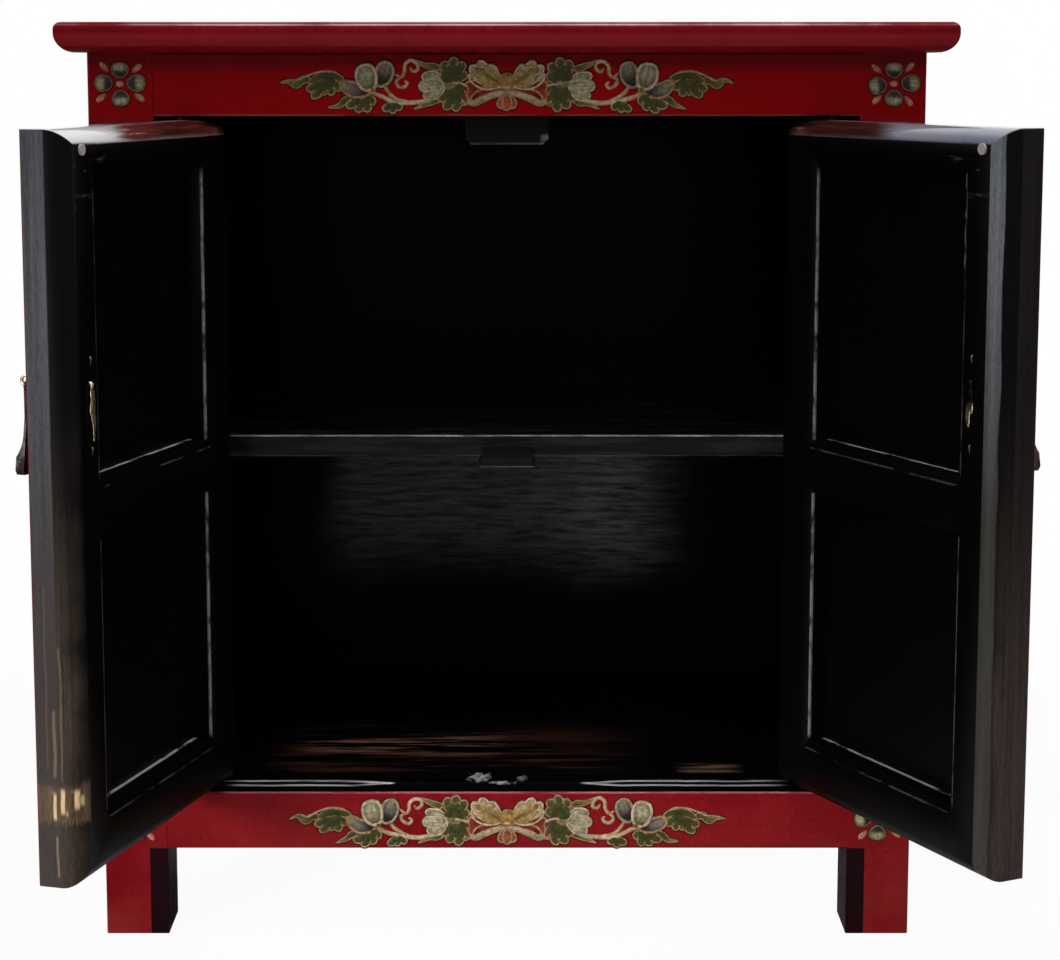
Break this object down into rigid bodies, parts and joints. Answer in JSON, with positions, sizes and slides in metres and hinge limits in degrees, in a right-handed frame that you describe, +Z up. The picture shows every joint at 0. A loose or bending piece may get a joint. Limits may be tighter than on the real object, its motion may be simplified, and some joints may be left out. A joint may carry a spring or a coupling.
{
  "type": "nightstand",
  "caption": "Lacquered nightstand cabinet on square legs, with a moulded top, one inner shelf and frame-and-panel doors standing open on wooden pintles.",
  "frame": {"origin": "on the floor, at the centre of the square of the four feet", "axes": "+Z up, -Y out of the front, +X to the right seen from the front"},
  "size_m": [0.6371, 0.5974, 0.642],
  "materials": {
    "red_lacquer": "glossy red lacquer, rubbed through at the arrises",
    "black_lacquer": "glossy black lacquer with brown wear",
    "bare_wood": "stained, unpolished",
    "brass": "tarnished",
    "dark_iron": "dark patina",
    "felt": "matt"
  },
  "bodies": {
    "case": {"top_front": "red_lacquer", "top_back": "red_lacquer", "top_left": "red_lacquer", "top_right": "red_lacquer", "top_panel": "red_lacquer", "top_brace": "bare_wood", "post_front_left": "red_lacquer", "post_front_right": "red_lacquer", "post_back_left": "red_lacquer", "post_back_right": "red_lacquer", "front_top_rail": "red_lacquer", "front_bottom_rail": "red_lacquer", "back_top_rail": "red_lacquer", "back_bottom_rail": "red_lacquer", "left_top_rail": "red_lacquer", "left_bottom_rail": "red_lacquer", "right_top_rail": "red_lacquer", "right_bottom_rail": "red_lacquer", "left_side_panel": "red_lacquer", "right_side_panel": "red_lacquer", "back_panel": "black_lacquer", "floor_board": "black_lacquer", "floor_cleat_left": "bare_wood", "floor_cleat_right": "bare_wood", "shelf_board": "black_lacquer", "shelf_cleat_left": "bare_wood", "shelf_cleat_right": "bare_wood", "shelf_stop": "black_lacquer", "top_stop_block": "black_lacquer"},
    "left_door": {"left_door_hinge_stile": "black_lacquer", "left_door_free_stile": "black_lacquer", "left_door_top_rail": "black_lacquer", "left_door_mid_rail": "black_lacquer", "left_door_bottom_rail": "black_lacquer", "left_door_upper_panel": "black_lacquer", "left_door_lower_panel": "black_lacquer", "left_door_plate": "dark_iron", "left_door_cotter": "brass", "left_door_bumper": "felt"},
    "left_pull": {"left_pull": "dark_iron"},
    "right_door": {"right_door_hinge_stile": "black_lacquer", "right_door_free_stile": "black_lacquer", "right_door_top_rail": "black_lacquer", "right_door_mid_rail": "black_lacquer", "right_door_bottom_rail": "black_lacquer", "right_door_upper_panel": "black_lacquer", "right_door_lower_panel": "black_lacquer", "right_door_plate": "dark_iron", "right_door_cotter": "brass", "right_door_bumper": "felt"},
    "right_pull": {"right_pull": "dark_iron"}
  },
  "joints": [
    {"name": "left_door_hinge", "type": "hinge", "parent": "case", "child": "left_door", "pos_m": [-0.2223, -0.1785, 0.34145], "axis": [0, 0, 1], "range_deg": [-13.5, 106.5]},
    {"name": "right_door_hinge", "type": "hinge", "parent": "case", "child": "right_door", "pos_m": [0.2223, -0.1785, 0.34145], "axis": [0, 0, 1], "range_deg": [-116.1, 3.9]},
    {"name": "left_pull_swing", "type": "hinge", "parent": "left_door", "child": "left_pull", "pos_m": [-0.29537, -0.3618, 0.421], "axis": [0.284, 0.9588, 0], "range_deg": [-8, 85]},
    {"name": "right_pull_swing", "type": "hinge", "parent": "right_door", "child": "right_pull", "pos_m": [0.32491, -0.34704, 0.421], "axis": [0.4399, -0.898, 0], "range_deg": [-8, 85]}
  ]
}
